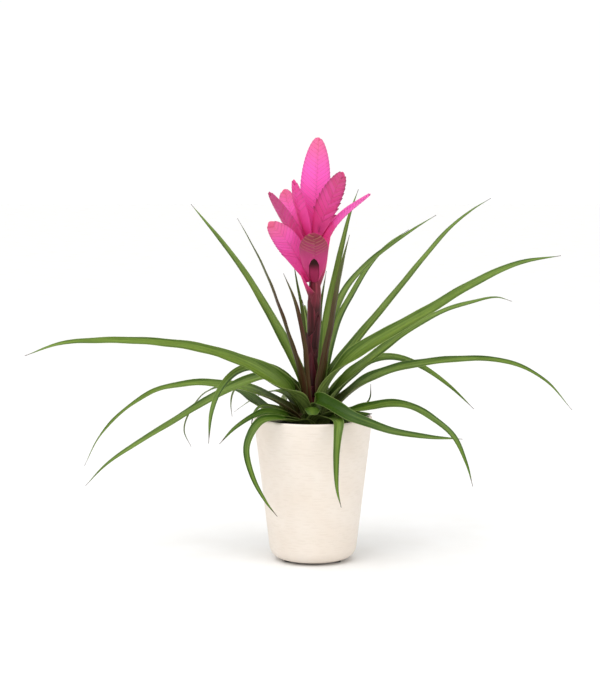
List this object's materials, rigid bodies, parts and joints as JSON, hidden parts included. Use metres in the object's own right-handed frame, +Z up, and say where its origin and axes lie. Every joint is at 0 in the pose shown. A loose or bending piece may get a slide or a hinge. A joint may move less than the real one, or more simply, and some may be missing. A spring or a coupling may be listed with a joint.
{
  "type": "potted quill bromeliad",
  "caption": "Flowering quill bromeliad with arching strap leaves and feather-shaped pink bracts, growing in a nursery pot inside a tapered cream cover pot.",
  "frame": {"origin": "centre of the standing plane, under the pot's axis", "axes": "+Z up along the pot's axis; -Y is the plant's front, the side its broad top quill shows its flat to; +X is its right-hand side seen from the front"},
  "size_m": [0.5454, 0.2996, 0.4271],
  "materials": {
    "pot_glaze": "satin",
    "pad_rubber": "matte",
    "nursery_plastic": "satin",
    "peat": "matte",
    "crown_tissue": "satin",
    "leaf": "satin",
    "stalk": "satin",
    "flower_bract": "satin"
  },
  "bodies": {
    "root": {"ceramic_pot": "pot_glaze", "crown": "crown_tissue", "flower_stalk": "stalk", "foot_pad_1": "pad_rubber", "foot_pad_2": "pad_rubber", "foot_pad_3": "pad_rubber", "growing_medium": "peat", "leaf_back_1": "leaf", "leaf_back_2": "leaf", "leaf_back_3": "leaf", "leaf_back_4": "leaf", "leaf_front_1": "leaf", "leaf_left_1": "leaf", "leaf_left_10": "leaf", "leaf_left_2": "leaf", "leaf_left_3": "leaf", "leaf_left_4": "leaf", "leaf_left_5": "leaf", "leaf_left_6": "leaf", "leaf_left_7": "leaf", "leaf_left_8": "leaf", "leaf_left_9": "leaf", "leaf_right_1": "leaf", "leaf_right_10": "leaf", "leaf_right_11": "leaf", "leaf_right_12": "leaf", "leaf_right_2": "leaf", "leaf_right_3": "leaf", "leaf_right_4": "leaf", "leaf_right_5": "leaf", "leaf_right_6": "leaf", "leaf_right_7": "leaf", "leaf_right_8": "leaf", "leaf_right_9": "leaf", "leaf_upright_1": "leaf", "leaf_upright_2": "leaf", "leaf_upright_3": "leaf", "leaf_upright_4": "leaf", "leaf_upright_5": "leaf", "leaf_upright_6": "leaf", "leaf_upright_7": "leaf", "leaf_upright_8": "leaf", "nursery_pot": "nursery_plastic", "quill_bract_left": "flower_bract", "quill_bract_lower_left": "flower_bract", "quill_bract_right": "flower_bract", "quill_front": "flower_bract", "quill_left": "flower_bract", "quill_lower_left": "flower_bract", "quill_rear": "flower_bract", "quill_rear_left": "flower_bract", "quill_rear_right": "flower_bract", "quill_right": "flower_bract", "quill_top": "flower_bract", "quill_upper_left": "flower_bract", "quill_upper_right": "flower_bract", "stalk_bract_1": "stalk", "stalk_bract_2": "stalk", "stalk_bract_3": "stalk"}
  },
  "joints": []
}
